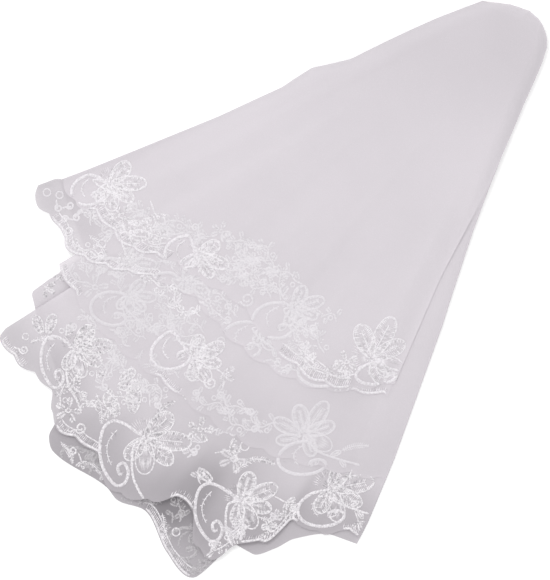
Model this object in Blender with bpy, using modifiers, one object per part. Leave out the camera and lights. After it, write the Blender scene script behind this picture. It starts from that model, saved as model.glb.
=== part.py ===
"""A lace-edged tulle bridal veil, folded into a fan and laid flat.

The veil is one circle of tulle with an embroidered edging sewn round it. It is folded in half three times,
so its eight layers are sectors of one fan, which opens about a point just past its rounded tip. Places are
given about that point: a radius, and an angle that runs from straight down (-Y) towards the left (-X).
Each layer that shows is a tulle sheet and its strip of lace edging, with the raised scrolls and flowers of
the embroidery lying on the strip. The layers that are hidden share one rounded solid.
"""

import math
from collections import namedtuple

import bmesh
import bpy
from mathutils import Vector
from mathutils.bvhtree import BVHTree

MM = 0.001

# Driving sizes, in millimetres and degrees
FAN_X = 345.8
FAN_Y = 367.9
CLOTH = 1.2
SEAM_GAP = 0.3
LACE_WIDTH = 106.0
TIP_ROUND = 17.0
EDGE_ROUND = 16.0
SCALLOP_LENGTH = 38.0
SCALLOP_DEPTH = 5.0
CORD_RADIUS = 1.9
STITCH_HEIGHT = 1.1
STITCH_SINK = 0.06
EMBROIDERY_GAP = 0.5
BEND_STEP = 38.0
FLOOR_LAYER = CLOTH + SEAM_GAP

# The two outer folds of the fan: the angle of each at a few radii
FoldEdge = namedtuple("FoldEdge", "radius left right")
FOLD_EDGES = [
    FoldEdge(70, 72.0, 19.0),
    FoldEdge(112, 71.0, 18.6),
    FoldEdge(165, 70.4, 20.0),
    FoldEdge(230, 69.0, 20.8),
    FoldEdge(276, 68.3, 21.0),
    FoldEdge(318, 69.2, 21.0),
    FoldEdge(362, 68.0, 20.8),
    FoldEdge(440, 67.6, 20.4),
    FoldEdge(600, 67.7, 20.3),
    FoldEdge(830, 67.9, 20.6),
]

# The rounded tip, from the right fold to the left one
Tip = namedtuple("Tip", "angle radius")
TIP = [
    Tip(18.5, 96.0),
    Tip(21.0, 85.0),
    Tip(25.0, 78.0),
    Tip(30.0, 72.5),
    Tip(36.0, 69.5),
    Tip(47.0, 69.5),
    Tip(55.0, 76.0),
    Tip(61.0, 83.0),
    Tip(66.0, 94.5),
    Tip(72.0, 114.0),
]

# Where a layer's own side folds leave the outer ones, as radii
SIDES_TOGETHER = 210.0
SIDES_APART = 400.0

# How high the hidden folds carry the layers above them, and the step from layer to layer, from tip to hem
Stack = namedtuple("Stack", "radius core step")
STACK = [
    Stack(70, 13.0, 2.6),
    Stack(150, 12.5, 1.9),
    Stack(250, 11.0, 1.9),
    Stack(420, 7.5, 4.0),
    Stack(610, 3.0, 4.0),
    Stack(690, 0.0, 4.0),
    Stack(830, 0.0, 4.0),
]
CORE_LIP = 0.5
CORE_CLEARANCE = 1.35 * CLOTH + 2 * SEAM_GAP

# Soft ridges that all the upper layers share. Each grows from one radius to another.
Ridge = namedtuple("Ridge", "angle half_width height start full")
RIDGES = [
    Ridge(57.0, 8.0, 2.2, 250, 480),
    Ridge(45.0, 7.0, 1.6, 250, 480),
    Ridge(32.0, 8.0, 2.2, 250, 480),
    Ridge(62.6, 4.6, 2.2, 480, 660),
    Ridge(51.0, 5.0, 2.6, 600, 760),
    Ridge(37.4, 4.0, 6.5, 660, 780),
    Ridge(29.4, 4.0, 3.2, 600, 740),
]

# The visible layers. A side left out follows the outer fold. Level counts the layers between it and the back.
Sheet = namedtuple("Sheet", "name level left right inset hem")
Hem = namedtuple("Hem", "angle radius")
BACK = Sheet("back", None, None, None, 0.0, [
    Hem(67.8, 640), Hem(60.0, 650), Hem(59.4, 728), Hem(58.2, 734), Hem(50.5, 764), Hem(48.9, 790),
    Hem(48.4, 808), Hem(47.2, 817), Hem(42.0, 801), Hem(40.8, 805), Hem(38.6, 792), Hem(35.0, 816),
    Hem(32.6, 829), Hem(32.0, 826), Hem(30.4, 768), Hem(28.8, 768), Hem(26.2, 731), Hem(23.0, 708),
    Hem(20.5, 707),
])
FRONT = Sheet("front", 0, 57.3, 20.5, 17.5, [
    Hem(57.3, 784), Hem(52.4, 776), Hem(50.0, 786), Hem(48.4, 795), Hem(45.0, 777), Hem(41.6, 794),
    Hem(38.6, 780), Hem(36.2, 754), Hem(35.2, 757), Hem(33.4, 790), Hem(32.0, 797), Hem(31.2, 792),
    Hem(30.2, 763), Hem(28.4, 750), Hem(26.9, 706), Hem(24.2, 708), Hem(22.4, 693), Hem(20.6, 698),
])
MIDDLE = Sheet("middle", 1, 60.2, None, 17.0, [
    Hem(60.2, 684), Hem(56.0, 686), Hem(51.4, 683), Hem(43.7, 669), Hem(35.3, 664), Hem(26.0, 641),
    Hem(21.0, 628),
])
SECOND = Sheet("second", 2, None, 22.6, 16.5, [
    Hem(67.4, 669), Hem(66.0, 675), Hem(64.0, 667), Hem(61.0, 664), Hem(56.9, 632), Hem(54.2, 604),
    Hem(48.5, 578), Hem(42.0, 580), Hem(34.0, 572), Hem(25.1, 540), Hem(22.3, 534),
])
TOP = Sheet("top", 3, None, 23.4, 0.0, [
    Hem(67.8, 630), Hem(66.4, 630), Hem(63.4, 618), Hem(58.4, 606), Hem(54.4, 574), Hem(50.2, 547),
    Hem(45.0, 545), Hem(38.0, 556), Hem(32.7, 560), Hem(27.6, 545), Hem(23.4, 518),
])
UPPER_SHEETS = [FRONT, MIDDLE, SECOND, TOP]
TULLE_ROWS = 9
TULLE_COLUMNS = 10

# To the left of the front and middle layers the two above them sink towards the back layer
SINK_FROM = 60.8
SINK_TO = 67.5
SINK_RADII = (400.0, 560.0)
SINK_DEPTH = 6.8

# One flower and scroll of the embroidery, about the middle of its scroll: x along the hem, y away from it
SCROLL_X = 29.0
SCROLL_Y = 26.0
SCROLL_START = 100.0
SCROLL_SWEEP = 560.0
CURL_FROM = 0.40
CURL_SHARE = 0.26
CURL_X = 11.0
CURL_Y = -4.0
FLOWER_X = 23.0
FLOWER_Y = 31.0
Petal = namedtuple("Petal", "direction length width")
PETALS = [
    Petal(22, 32, 17), Petal(62, 35, 17), Petal(104, 29, 16), Petal(-24, 26, 15), Petal(158, 17, 10),
    Petal(-72, 22, 10),
]
Stem = namedtuple("Stem", "x y")
STEM = [Stem(22, 28), Stem(27, 17), Stem(36, 9), Stem(47, 6), Stem(54, 1), Stem(53, -6), Stem(46, -7)]

# Where each one lies: its sheet and angle, how far it is turned clockwise, and its share of full size
HEM_MARGIN = 2.5
Motif = namedtuple("Motif", "sheet angle turn size")
MOTIFS = [
    Motif(FRONT, 53.6, -6, 0.92),
    Motif(FRONT, 44.6, 18, 1.0),
    Motif(FRONT, 34.4, 14, 0.95),
    Motif(FRONT, 26.2, 0, 0.9),
    Motif(MIDDLE, 55.6, 6, 0.95),
    Motif(MIDDLE, 45.0, 8, 1.0),
    Motif(MIDDLE, 31.0, 4, 1.0),
    Motif(TOP, 63.6, 16, 0.95),
    Motif(TOP, 54.0, 14, 0.9),
    Motif(TOP, 42.0, 6, 0.95),
    Motif(TOP, 30.8, 4, 0.95),
]


def between(rows, at, column, key=0):
    """Reads one column of a table at a place between its rows."""
    rows = sorted(rows, key=lambda row: row[key])
    if at <= rows[0][key]:
        return getattr(rows[0], column)
    for low, high in zip(rows, rows[1:]):
        if at <= high[key]:
            share = (at - low[key]) / (high[key] - low[key])
            return getattr(low, column) + share * (getattr(high, column) - getattr(low, column))
    return getattr(rows[-1], column)


def ease(value, low, high):
    """Goes smoothly from 0 at low to 1 at high."""
    share = min(1.0, max(0.0, (value - low) / (high - low)))
    return share * share * (3 - 2 * share)


def quarter_round(distance, reach):
    """The height, from 0 to 1, of a quarter circle at a distance in from its foot."""
    share = min(1.0, max(0.0, distance / reach))
    return math.sqrt(1 - (1 - share) ** 2)


def side_angle(sheet, radius, side):
    """The angle of a sheet's left or right fold at a radius."""
    outer = between(FOLD_EDGES, radius, side)
    inwards = -1 if side == "left" else 1
    near = outer + inwards * math.degrees(sheet.inset / radius)
    own = getattr(sheet, side)
    if own is None:
        return near
    return near + (own - near) * ease(radius, SIDES_TOGETHER, SIDES_APART)


def tip_radius(angle):
    """The radius of the fan's rounded tip, which draws back towards its two corners."""
    return between(TIP, angle, "radius")


def hem_radius(sheet, angle):
    """The scalloped outer edge of a sheet's lace."""
    radius = between(sheet.hem, angle, "radius")
    if sheet is BACK:
        return radius
    along = radius * math.radians(angle)
    return radius + SCALLOP_DEPTH * (abs(math.sin(math.pi * along / SCALLOP_LENGTH)) - 0.6)


def seam_corners(sheet):
    """The corners of the line where tulle and lace meet: the lace's width in from the hem, and smoother."""
    middle = between(sheet.hem, 44.0, "radius") - LACE_WIDTH
    right, left = side_angle(sheet, middle, "right"), side_angle(sheet, middle, "left")
    corners = []
    for across in edge_steps(middle * math.radians(left - right), TULLE_COLUMNS, EDGE_ROUND):
        angle = right + math.degrees(across / middle)
        spread = [between(sheet.hem, angle + step, "radius") for step in range(-4, 5)]
        corners.append(Hem(angle, sum(spread) / len(spread) - LACE_WIDTH))
    return corners


def seam_radius(sheet, angle):
    """Where tulle and lace meet: straight between the corners of the seam."""
    corners = SEAMS[sheet.name]
    number = 0
    while number < len(corners) - 2 and corners[number + 1].angle < angle:
        number += 1
    low, high = corners[number], corners[number + 1]
    past, left = math.radians(angle - low.angle), math.radians(high.angle - angle)
    return low.radius * high.radius * math.sin(past + left) / (
        low.radius * math.sin(past) + high.radius * math.sin(left))


def height(sheet, radius, angle):
    """The height of a sheet's upper face over the surface that the veil lies on."""
    if sheet is BACK:
        return CLOTH
    left, right = between(FOLD_EDGES, radius, "left"), between(FOLD_EDGES, radius, "right")
    from_side = radius * math.radians(min(left - angle, angle - right))
    lift = quarter_round(from_side, EDGE_ROUND) * quarter_round(radius - tip_radius(angle), TIP_ROUND)
    rise = between(STACK, radius, "core") + sheet.level * between(STACK, radius, "step")
    for ridge in RIDGES:
        off = abs(angle - ridge.angle) / ridge.half_width
        if off < 1:
            rise += ridge.height * 0.5 * (1 + math.cos(math.pi * off)) * ease(radius, ridge.start, ridge.full)
    if sheet.level >= 2:
        rise -= SINK_DEPTH * ease(angle, SINK_FROM, SINK_TO) * ease(radius, *SINK_RADII)
    return FLOOR_LAYER + CLOTH + lift * rise


def plan(radius, angle):
    """The place in plan of a radius and an angle."""
    turn = math.radians(angle)
    return FAN_X - radius * math.sin(turn), FAN_Y - radius * math.cos(turn)


def fan_place(x, y):
    """The radius and angle of a place in plan."""
    across, down = FAN_X - x, FAN_Y - y
    return math.hypot(across, down), math.degrees(math.atan2(across, down))


def edge_steps(width, middle_count, rounded):
    """Distances across a width, close together where its ends are rounded."""
    ends = [0.0, 0.13 * rounded, 0.33 * rounded, 0.64 * rounded, rounded]
    inner = width - 2 * rounded
    middle = [rounded + inner * step / middle_count for step in range(1, middle_count)]
    return ends + middle + [width - end for end in reversed(ends)]


def tulle_rows(sheet):
    """The sheet's upper face from its tip to the seam, as rows of points."""
    seam = SEAMS[sheet.name]
    inner = tip_radius(44.0) + sheet.inset
    outer = between(sheet.hem, 44.0, "radius") - LACE_WIDTH
    tip_steps = [0.0, 2.2, 5.6, 10.8, TIP_ROUND]
    shares = [step / TULLE_ROWS for step in range(1, TULLE_ROWS + 1)]
    rows = []
    for tip_step, share in [(step, 0.0) for step in tip_steps] + [(TIP_ROUND, share) for share in shares]:
        nominal = inner + tip_step + share * (outer - inner - tip_step)
        right, left = side_angle(sheet, nominal, "right"), side_angle(sheet, nominal, "left")
        widths = edge_steps(nominal * math.radians(left - right), TULLE_COLUMNS, EDGE_ROUND)
        row = []
        for corner, across in zip(seam, widths):
            angle = right + math.degrees(across / nominal)
            start = tip_radius(angle) + sheet.inset + tip_step
            radius = start + share * (corner.radius - SEAM_GAP - start)
            row.append((radius, angle))
        rows.append(row)
    return rows


def lace_angles(sheet):
    """The angles of the lace's columns: close enough for scallops, and one on each corner of hem and seam."""
    seam = SEAMS[sheet.name]
    right, left = seam[0].angle, seam[-1].angle
    count = round(between(sheet.hem, 44.0, "radius") * math.radians(left - right) / (SCALLOP_LENGTH / 4))
    even = [right + (left - right) * step / count for step in range(count + 1)]
    corners = [row.angle for row in sheet.hem if right + 0.3 < row.angle < left - 0.3]
    for row in seam:
        corners = [angle for angle in corners if abs(angle - row.angle) > 0.15] + [row.angle]
    clear = [angle for angle in even if all(abs(angle - corner) > 0.25 for corner in corners)]
    return sorted(clear + corners)


def lace_rows(sheet):
    """The upper face of the lace edging, from the seam to the hem, as rows of points."""
    angles = lace_angles(sheet)
    rows = []
    for share in (0.0, 0.5, 1.0):
        row = []
        for angle in angles:
            start = seam_radius(sheet, angle)
            row.append((start + share * (hem_radius(sheet, angle) - start), angle))
        rows.append(row)
    return rows


def new_object(name, mesh, material):
    """Links an object for a mesh, with smooth shading and its material."""
    for polygon in mesh.polygons:
        polygon.use_smooth = True
    piece = bpy.data.objects.new(name, mesh)
    piece.data.materials.append(material)
    veil.objects.link(piece)
    return piece


def surface(name, rows, heights):
    """An open surface through rows of places and their heights, facing up."""
    bm = bmesh.new()
    grid = []
    for row, levels in zip(rows, heights):
        points = [(*plan(radius, angle), level) for (radius, angle), level in zip(row, levels)]
        grid.append([bm.verts.new([value * MM for value in point]) for point in points])
    for inner, outer in zip(grid, grid[1:]):
        for column in range(len(inner) - 1):
            bm.faces.new((inner[column], inner[column + 1], outer[column + 1], outer[column]))
    bm.normal_update()
    if sum(face.normal.z for face in bm.faces) < 0:
        bmesh.ops.reverse_faces(bm, faces=bm.faces)
    mesh = bpy.data.meshes.new(name)
    bm.to_mesh(mesh)
    bm.free()
    return mesh


def cloth_wall(name, sheet, rows, material):
    """A wall of cloth under the face that the rows give."""
    heights = [[height(sheet, radius, angle) for radius, angle in row] for row in rows]
    piece = new_object(name, surface(name, rows, heights), material)
    wall = piece.modifiers.new("Cloth", "SOLIDIFY")
    wall.thickness = CLOTH * MM
    wall.offset = -1
    return piece


def hidden_folds(material):
    """The layers that don't show, as one rounded solid under the front layer's tulle and from its points."""
    rows = [row[2:-2] for row in tulle_rows(FRONT)[2:-1]]
    low = FLOOR_LAYER + CORE_LIP
    heights = []
    for number, row in enumerate(rows):
        tops = [max(low, height(FRONT, radius, angle) - CORE_CLEARANCE) for radius, angle in row]
        if number in (0, len(rows) - 1):
            tops = [low for top in tops]
        tops[0] = low
        tops[-1] = low
        heights.append(tops)
    mesh = surface("hidden_folds", rows, heights)
    bm = bmesh.new()
    bm.from_mesh(mesh)
    grown = bmesh.ops.extrude_face_region(bm, geom=bm.faces[:])["geom"]
    for vert in grown:
        if isinstance(vert, bmesh.types.BMVert):
            vert.co.z = FLOOR_LAYER * MM
    bmesh.ops.recalc_face_normals(bm, faces=bm.faces)
    bm.to_mesh(mesh)
    bm.free()
    return new_object("hidden_folds", mesh, material)


def scroll_path(count):
    """The embroidered scroll: most of an ellipse that winds into a curl."""
    points = []
    for step in range(count + 1):
        along = step / count
        turn = math.radians(SCROLL_START + SCROLL_SWEEP * along)
        curl = ease(along, CURL_FROM, 1.0)
        size = 1 + (CURL_SHARE - 1) * curl
        x = CURL_X * curl + SCROLL_X * size * math.cos(turn)
        y = CURL_Y * curl + SCROLL_Y * size * math.sin(turn)
        points.append((x, y))
    return [(FLOWER_X - 3.0, FLOWER_Y - 1.5), (0.4 * FLOWER_X, FLOWER_Y - 2.5)] + points


def cord_mesh(name, points, sink):
    """A round cord through points in plan, a little below the cloth, as a mesh with welded ends."""
    curve = bpy.data.curves.new(name, "CURVE")
    curve.dimensions = "3D"
    curve.bevel_depth = CORD_RADIUS
    curve.bevel_resolution = 0
    curve.use_fill_caps = True
    line = curve.splines.new("POLY")
    line.points.add(len(points) - 1)
    for point, (x, y) in zip(line.points, points):
        point.co = (x, y, 0.0, 1.0)
    holder = bpy.data.objects.new(name, curve)
    bpy.context.scene.collection.objects.link(holder)
    graph = bpy.context.evaluated_depsgraph_get()
    mesh = bpy.data.meshes.new_from_object(holder.evaluated_get(graph))
    bpy.data.objects.remove(holder)
    bm = bmesh.new()
    bm.from_mesh(mesh)
    bmesh.ops.remove_doubles(bm, verts=bm.verts, dist=0.01)
    for vert in bm.verts:
        vert.co.z = vert.co.z * STITCH_HEIGHT / CORD_RADIUS - sink
    bm.to_mesh(mesh)
    bm.free()
    return mesh


def petal_mesh(name, petal, sink):
    """A flat dome from the flower's heart outwards."""
    bm = bmesh.new()
    bmesh.ops.create_uvsphere(bm, u_segments=8, v_segments=4, radius=1.0)
    turn = math.radians(petal.direction)
    heart = -3.0
    for vert in bm.verts:
        along = heart + (vert.co.x + 1) * 0.5 * (petal.length - heart)
        across = vert.co.y * 0.5 * petal.width
        x = FLOWER_X + along * math.sin(turn) + across * math.cos(turn)
        y = FLOWER_Y + along * math.cos(turn) - across * math.sin(turn)
        vert.co = (x, y, vert.co.z * STITCH_HEIGHT - sink)
    bmesh.ops.recalc_face_normals(bm, faces=bm.faces)
    mesh = bpy.data.meshes.new(name)
    bm.to_mesh(mesh)
    bm.free()
    return mesh


def joined(base, other, operation):
    """The Boolean of two meshes, as a new mesh."""
    holder = bpy.data.objects.new("base", base)
    tool = bpy.data.objects.new("tool", other)
    for piece in (holder, tool):
        bpy.context.scene.collection.objects.link(piece)
    cut = holder.modifiers.new("Boolean", "BOOLEAN")
    cut.operation = operation
    cut.object = tool
    graph = bpy.context.evaluated_depsgraph_get()
    mesh = bpy.data.meshes.new_from_object(holder.evaluated_get(graph))
    bpy.data.objects.remove(holder)
    bpy.data.objects.remove(tool)
    return mesh


def motif_mesh():
    """One flower with its scroll and stem in millimetres: ridged cords and domed petals, flat underneath."""
    mesh = cord_mesh("scroll", scroll_path(26), 0.0)
    mesh = joined(mesh, cord_mesh("stem", [(point.x, point.y) for point in STEM], STITCH_SINK), "UNION")
    for number, petal in enumerate(PETALS, 2):
        mesh = joined(mesh, petal_mesh("petal", petal, number * STITCH_SINK), "UNION")
    bm = bmesh.new()
    bmesh.ops.create_cube(bm, size=1.0)
    for vert in bm.verts:
        vert.co.x *= 300
        vert.co.y *= 300
        vert.co.z = (vert.co.z - 0.5) * 10
    below = bpy.data.meshes.new("below")
    bm.to_mesh(below)
    bm.free()
    mesh = joined(mesh, below, "DIFFERENCE")
    bm = bmesh.new()
    bm.from_mesh(mesh)
    for step in range(-1, 2):
        for direction in ((1, 0, 0), (0, 1, 0)):
            place = [(step + 0.53) * BEND_STEP * value for value in direction]
            everything = bm.verts[:] + bm.edges[:] + bm.faces[:]
            bmesh.ops.bisect_plane(bm, geom=everything, plane_co=place, plane_no=direction)
    bm.to_mesh(mesh)
    bm.free()
    return mesh


def laid_out(motif, flat, centre_radius):
    """The places in plan of the flat motif's points, when its scroll's middle is at a radius."""
    centre_x, centre_y = plan(centre_radius, motif.angle)
    turn = math.radians(-motif.angle - motif.turn)
    places = []
    for vert in flat.vertices:
        along, away = motif.size * vert.co.x, motif.size * vert.co.y
        x = centre_x + along * math.cos(turn) - away * math.sin(turn)
        y = centre_y + along * math.sin(turn) + away * math.cos(turn)
        places.append((x, y))
    return places


def embroidery(name, motif, flat, lace, material):
    """The flat motif laid on the faces of its strip of lace, with its scroll just inside the hem."""
    centre_radius = between(motif.sheet.hem, motif.angle, "radius") - SCROLL_Y
    for trial in range(3):
        fans = [fan_place(x, y) for x, y in laid_out(motif, flat, centre_radius)]
        past = max(radius - hem_radius(motif.sheet, angle) for radius, angle in fans)
        centre_radius -= past + HEM_MARGIN
    faces = BVHTree.FromObject(lace, bpy.context.evaluated_depsgraph_get())
    mesh = flat.copy()
    for vert, (x, y) in zip(mesh.vertices, laid_out(motif, flat, centre_radius)):
        found = faces.ray_cast(Vector((x * MM, y * MM, 1.0)), Vector((0.0, 0.0, -1.0)))[0]
        vert.co = (x * MM, y * MM, found.z + (EMBROIDERY_GAP + vert.co.z) * MM)
    return new_object(name, mesh, material)


def material(name, colour, roughness):
    """A plain material of one colour."""
    made = bpy.data.materials.new(name)
    made.use_nodes = True
    shader = made.node_tree.nodes["Principled BSDF"]
    shader.inputs["Base Color"].default_value = (*colour, 1.0)
    shader.inputs["Roughness"].default_value = roughness
    return made


for old in list(bpy.data.objects):
    bpy.data.objects.remove(old)
veil = bpy.data.collections.new("bridal_veil")
bpy.context.scene.collection.children.link(veil)

tulle = material("tulle", (0.72, 0.70, 0.73), 0.8)
lace_net = material("lace_net", (0.76, 0.74, 0.77), 0.75)
thread = material("thread", (0.90, 0.88, 0.91), 0.45)

SEAMS = {sheet.name: seam_corners(sheet) for sheet in [BACK] + UPPER_SHEETS}
cloth_wall("tulle_back", BACK, tulle_rows(BACK), tulle)
cloth_wall("lace_back", BACK, lace_rows(BACK), lace_net)
hidden_folds(tulle)
flat_motif = motif_mesh()
for layer in UPPER_SHEETS:
    cloth_wall(f"tulle_{layer.name}", layer, tulle_rows(layer), tulle)
    edging = cloth_wall(f"lace_{layer.name}", layer, lace_rows(layer), lace_net)
    for number, row in enumerate([motif for motif in MOTIFS if motif.sheet is layer], 1):
        embroidery(f"embroidery_{layer.name}_{number}", row, flat_motif, edging, thread)
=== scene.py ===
"""The look of a lace-edged tulle bridal veil, folded into a fan and laid flat.

The layers lie on the forms of the solids that they replace, about the same fan point: a place is a radius
from it and an angle that runs from straight down (-Y) towards the left (-X). Sizes here are in millimetres
and degrees, and become metres when a mesh is made.
"""

import math
from collections import namedtuple

import bpy
import numpy as np
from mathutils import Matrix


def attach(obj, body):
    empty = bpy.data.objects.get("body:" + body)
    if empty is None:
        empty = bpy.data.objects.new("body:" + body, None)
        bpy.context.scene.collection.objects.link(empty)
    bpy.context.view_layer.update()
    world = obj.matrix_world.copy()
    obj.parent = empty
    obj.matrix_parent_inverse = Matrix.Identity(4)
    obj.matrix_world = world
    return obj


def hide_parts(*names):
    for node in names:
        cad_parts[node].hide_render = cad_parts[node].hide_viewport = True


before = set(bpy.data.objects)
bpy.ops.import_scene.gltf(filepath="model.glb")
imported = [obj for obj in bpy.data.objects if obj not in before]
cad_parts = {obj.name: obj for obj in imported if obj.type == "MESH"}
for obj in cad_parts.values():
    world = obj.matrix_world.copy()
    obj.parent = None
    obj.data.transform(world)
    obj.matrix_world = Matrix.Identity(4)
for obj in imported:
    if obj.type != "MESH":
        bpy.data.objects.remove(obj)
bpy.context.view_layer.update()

MM = 0.001

# The fan, as the solids have it
FAN_X = 345.8
FAN_Y = 367.9
CLOTH = 1.2
FLOOR_LAYER = 1.5
LACE_WIDTH = 106.0
TIP_ROUND = 17.0
EDGE_ROUND = 16.0
SCALLOP_LENGTH = 38.0
SCALLOP_DEPTH = 5.0
SIDES_TOGETHER = 210.0
SIDES_APART = 400.0

FoldEdge = namedtuple("FoldEdge", "radius left right")
FOLD_EDGES = [
    FoldEdge(70, 72.0, 19.0),
    FoldEdge(112, 71.0, 18.6),
    FoldEdge(165, 70.4, 20.2),
    FoldEdge(230, 69.0, 21.0),
    FoldEdge(276, 68.1, 21.1),
    FoldEdge(322, 69.4, 21.0),
    FoldEdge(362, 68.0, 20.7),
    FoldEdge(440, 67.5, 20.2),
    FoldEdge(600, 67.6, 20.1),
    FoldEdge(680, 67.8, 20.4),
    FoldEdge(710, 67.9, 20.7),
    FoldEdge(830, 68.0, 20.9),
]
Tip = namedtuple("Tip", "angle radius")
TIP = [
    Tip(18.5, 96.0), Tip(21.0, 85.0), Tip(25.0, 78.0), Tip(30.0, 72.5), Tip(36.0, 69.5), Tip(47.0, 69.5),
    Tip(55.0, 76.0), Tip(61.0, 83.0), Tip(66.0, 94.5), Tip(72.0, 114.0),
]
Stack = namedtuple("Stack", "radius core step")
STACK = [
    Stack(70, 13.0, 2.6),
    Stack(150, 12.5, 1.9),
    Stack(250, 11.0, 1.9),
    Stack(420, 7.5, 4.0),
    Stack(610, 3.0, 4.0),
    Stack(690, 0.0, 4.0),
    Stack(830, 0.0, 4.0),
]

# Soft ridges that all the upper layers share: the solids' own, then finer ones that drift sideways
Ridge = namedtuple("Ridge", "angle half_width height start full drift")
RIDGES = [
    Ridge(57.0, 8.0, 2.2, 250, 480, 0),
    Ridge(45.0, 7.0, 1.6, 250, 480, 0),
    Ridge(32.0, 8.0, 2.2, 250, 480, 0),
    Ridge(62.6, 4.6, 2.2, 480, 660, 0),
    Ridge(51.0, 5.0, 2.6, 600, 760, 0),
    Ridge(37.4, 4.0, 6.5, 660, 780, 0),
    Ridge(29.4, 4.0, 3.2, 600, 740, 0),
    Ridge(64.0, 1.6, 0.7, 130, 260, -4),
    Ridge(58.5, 1.3, 0.6, 240, 420, 3),
    Ridge(52.0, 1.8, 0.7, 200, 420, -3),
    Ridge(47.0, 1.1, 0.5, 320, 520, 2),
    Ridge(41.0, 1.7, 0.8, 160, 380, -2),
    Ridge(35.5, 1.2, 0.5, 300, 520, 3),
    Ridge(27.5, 1.5, 0.7, 180, 400, 2),
    Ridge(23.6, 1.0, 0.5, 260, 480, -1),
    Ridge(55.0, 1.5, 0.9, 560, 720, 2),
    Ridge(43.0, 1.6, 0.9, 540, 720, -2),
    Ridge(33.6, 1.3, 0.8, 560, 720, 1),
    Ridge(25.2, 1.3, 0.8, 520, 680, 1),
]

SINK_FROM = 60.8
SINK_TO = 67.5
SINK_RADII = (400.0, 560.0)
SINK_DEPTH = 6.8

Sheet = namedtuple("Sheet", "name level left right inset hem")
Hem = namedtuple("Hem", "angle radius")
BACK = Sheet("back", None, None, None, 0.0, [
    Hem(67.8, 640), Hem(59.8, 650), Hem(59.2, 726), Hem(58.2, 731), Hem(50.5, 764), Hem(48.9, 790),
    Hem(48.4, 808), Hem(47.2, 817), Hem(42.0, 803), Hem(40.8, 806), Hem(38.4, 795), Hem(35.0, 818),
    Hem(32.6, 829), Hem(32.0, 826), Hem(30.4, 768), Hem(28.8, 768), Hem(27.2, 749), Hem(26.2, 731), Hem(23.0, 708),
    Hem(20.5, 707),
])
FRONT = Sheet("front", 0, 57.7, None, 17.5, [
    Hem(57.7, 772), Hem(57.3, 784), Hem(55.8, 786), Hem(52.6, 775), Hem(51.3, 772), Hem(49.8, 789), Hem(48.4, 795), Hem(45.0, 783), Hem(41.6, 801),
    Hem(38.6, 783), Hem(36.2, 756), Hem(35.2, 761), Hem(33.4, 793), Hem(32.0, 798), Hem(31.2, 792),
    Hem(30.2, 763), Hem(28.4, 750), Hem(26.9, 712), Hem(24.2, 713), Hem(22.4, 699), Hem(20.6, 698),
])
MIDDLE = Sheet("middle", 1, 60.2, None, 17.0, [
    Hem(60.2, 684), Hem(56.0, 686), Hem(51.4, 683), Hem(43.7, 669), Hem(35.3, 664), Hem(26.0, 641),
    Hem(21.0, 628),
])
SECOND = Sheet("second", 2, None, 23.6, 16.5, [
    Hem(68.4, 654), Hem(68.0, 665), Hem(67.2, 672), Hem(66.2, 673), Hem(63.4, 662), Hem(61.5, 667),
    Hem(60.8, 664), Hem(56.9, 632), Hem(54.2, 604),
    Hem(48.5, 578), Hem(42.0, 580), Hem(34.0, 572), Hem(25.1, 540), Hem(22.3, 534),
])
TOP = Sheet("top", 3, None, 23.4, 0.0, [
    Hem(67.8, 634), Hem(66.4, 637), Hem(64.8, 634), Hem(63.2, 619), Hem(58.4, 606), Hem(54.4, 574), Hem(50.2, 559),
    Hem(45.0, 545), Hem(38.0, 556), Hem(32.7, 560), Hem(27.6, 545), Hem(23.4, 518),
])
SHEETS = [BACK, FRONT, MIDDLE, SECOND, TOP]

# How light each layer's cloth is painted, from 0, grey, to 1, white: its tulle and its lace; the front's and back's
# low lace values are painted shade at their hems
ToneAndShade = namedtuple("ToneAndShade", "tulle lace")
TONES_AND_SHADE = {
    "back": ToneAndShade(0.76, 0.42),
    "front": ToneAndShade(0.77, 0.46),
    "middle": ToneAndShade(0.77, 0.75),
    "second": ToneAndShade(0.77, 0.78),
    "top": ToneAndShade(0.77, 0.78),
}

# Painted shade and painted light: places where the cloth is painted darker than its layer, as in the shadowed hollow
# under the front's raised hem, or lighter: its sheet, a middle in plan, a reach and an amount
Spot = namedtuple("Spot", "sheet x y reach amount")
LIGHT_AND_SHADE_SPOTS = [
    Spot("back", -118, -248, 30, -0.42),
    Spot("back", -222, -202, 60, -0.21),
    Spot("back", -85, -285, 60, -0.16),
    Spot("front", -75, -225, 105, -0.20),
    Spot("front", -45, -222, 42, -0.13),
    Spot("front", -139, -113, 16, -0.07),
    Spot("middle", -40, -160, 70, -0.08),
    Spot("any", -110, -10, 110, 0.02),
    Spot("any", -60, 170, 110, 0.02),
    Spot("any", 270, 290, 110, -0.08),
    Spot("any", 130, 290, 60, -0.04),
    Spot("any", 160, 60, 60, -0.03),
    Spot("any", 245, 80, 120, 0.05),
    Spot("any", 110, -215, 90, -0.05),
    Spot("any", 80, -110, 40, -0.06),
    Spot("second", -256, 100, 34, -0.24),
    Spot("second", -215, 70, 30, -0.10),
]

# How much darker the cloth is at the left folds, and over what distance that fades
FOLD_SHADE = 0.14
FOLD_REACH = 5.0

# The back layer's hem is painted darker, as shade: the angles and radii that the painted shade spreads over
BACK_SHADE_SIDE = (19.0, 21.4)
BACK_SHADE_LEFT = (50.0, 58.0)
BACK_SHADE_RADII = (590.0, 660.0)

# Towards its free edges a layer droops onto what lies beneath, down to a small gap
DROOP_WIDTH = 26.0
DROOP_GAP = 0.6
DROOP_RADII = (230.0, 400.0)

# Layers' sides that come out to the outer fold, as inner folds do: between two radii, and how far in they end
Tuck = namedtuple("Tuck", "sheet side start full inset")
TUCKS = [
    Tuck("second", "left", 606, 654, -3.0),
    Tuck("middle", "right", 100, 190, 3.0),
    Tuck("front", "right", 100, 190, 0.5),
]


def between(rows, at, name):
    """One column of a table at places between its rows."""
    rows = sorted(rows)
    return np.interp(at, [row[0] for row in rows], [getattr(row, name) for row in rows])


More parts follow.
